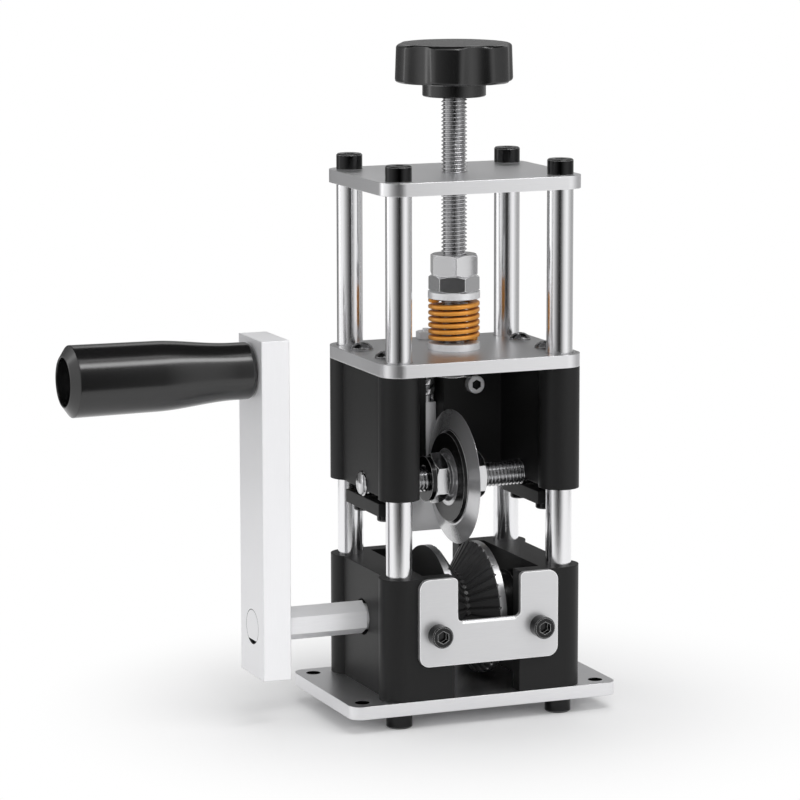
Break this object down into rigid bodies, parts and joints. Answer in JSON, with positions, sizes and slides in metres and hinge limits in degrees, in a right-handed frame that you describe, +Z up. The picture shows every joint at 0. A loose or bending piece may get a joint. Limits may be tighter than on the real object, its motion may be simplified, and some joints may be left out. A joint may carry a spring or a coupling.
{
  "type": "wire stripper",
  "caption": "Hand-cranked bench wire stripper: a toothed V-groove feed roller under a sprung round blade, set by a screw spindle with a lobed knob between chromed columns",
  "frame": {"origin": "Centre of the four bench bolt holes, on the underside of the base plate", "axes": "+Z up along the columns, -Y the side where the wire goes in, -X the side of the crank"},
  "size_m": [0.2113, 0.0746, 0.2573],
  "materials": {
    "satin_steel": "satin ground plate",
    "black_anodised": "satin black anodised block",
    "chrome_rod": "polished hard chrome",
    "stainless": "brushed sheet",
    "black_oxide": "black oxide",
    "zinc": "bright zinc",
    "bearing_steel": "ground steel",
    "dark_steel": "blackened steel",
    "crank_aluminium": "bright milled",
    "black_plastic": "semi-gloss moulded",
    "gold_spring": "gold lacquered spring wire",
    "spring_wire": "bright spring wire",
    "blade_steel": "ground tool steel",
    "bush_bronze": "turned bronze"
  },
  "bodies": {
    "frame": {"base_plate": "satin_steel", "foot_screws": "black_oxide", "base_block": "black_anodised", "column_front_left": "chrome_rod", "column_front_right": "chrome_rod", "column_rear_left": "chrome_rod", "column_rear_right": "chrome_rod", "top_plate": "satin_steel", "top_screws": "black_oxide", "guide_plate": "stainless", "guide_screws": "black_oxide", "left_bearing_outer": "bearing_steel", "left_bearing_balls": "bearing_steel", "right_bearing_outer": "bearing_steel", "right_bearing_balls": "bearing_steel"},
    "crank": {"drive_shaft": "zinc", "left_bearing_inner": "bearing_steel", "right_bearing_inner": "bearing_steel", "roller_left": "dark_steel", "roller_right": "dark_steel", "roller_key": "dark_steel", "left_roller_spacer": "dark_steel", "right_roller_spacer": "dark_steel", "crank_arm": "crank_aluminium", "arm_grub_screw": "black_oxide", "grip_bolt": "zinc"},
    "handle": {"grip": "black_plastic"},
    "feed": {"spring_top_washer": "zinc", "die_spring": "gold_spring"},
    "screw": {"spindle": "zinc", "knob": "black_plastic", "upper_lock_nut": "zinc", "lower_lock_nut": "zinc", "keeper_nut": "zinc"},
    "carriage": {"carriage_block": "black_anodised", "carriage_plate": "satin_steel", "carriage_screws": "black_oxide", "column_bushes": "bush_bronze", "spring_seat_washer": "zinc", "blade_axle": "zinc", "left_axle_strap": "black_anodised", "right_axle_strap": "black_anodised", "strap_screws": "black_oxide", "left_blade_nut": "zinc", "right_blade_nut": "zinc", "axle_washer": "black_oxide", "blade_spacers": "zinc", "blade_bearing_inner": "bearing_steel", "rear_cover": "black_anodised", "rear_cover_screws": "zinc", "presser_spring": "spring_wire"},
    "cutter": {"blade": "blade_steel", "blade_hub": "dark_steel", "blade_clamp_ring": "dark_steel", "blade_bearing_outer": "bearing_steel", "blade_bearing_balls": "bearing_steel"},
    "presser": {"presser_bar": "stainless", "presser_nut": "black_oxide"}
  },
  "joints": [
    {"name": "crank_turn", "type": "hinge", "parent": "frame", "child": "crank", "pos_m": [0, 0, 0.032], "axis": [1, 0, 0], "continuous": true},
    {"name": "grip_spin", "type": "hinge", "parent": "crank", "child": "handle", "pos_m": [-0.12, 0, 0.1305], "axis": [1, 0, 0], "continuous": true},
    {"name": "screw_feed", "type": "slide", "parent": "frame", "child": "feed", "axis": [0, 0, 1], "range_m": [-0.008, 0.025]},
    {"name": "spindle_turn", "type": "hinge", "parent": "feed", "child": "screw", "pos_m": [0, 0, 0.2], "axis": [0, 0, 1], "range_deg": [-1930, 6010]},
    {"name": "carriage_float", "type": "slide", "parent": "feed", "child": "carriage", "axis": [0, 0, 1], "range_m": [0, 0.004], "stiffness_N_per_m": 20000, "springref_m": -0.002, "deforming": ["die_spring"]},
    {"name": "blade_spin", "type": "hinge", "parent": "carriage", "child": "cutter", "pos_m": [0, 0, 0.084], "axis": [1, 0, 0], "continuous": true},
    {"name": "presser_slide", "type": "slide", "parent": "carriage", "child": "presser", "axis": [0, 0, 1], "range_m": [0, 0.006], "stiffness_N_per_m": 400, "springref_m": -0.005, "deforming": ["presser_spring"]}
  ],
  "couplings": [
    {"joint": "spindle_turn", "follows": "screw_feed", "rad_per_m": 4188.8}
  ]
}
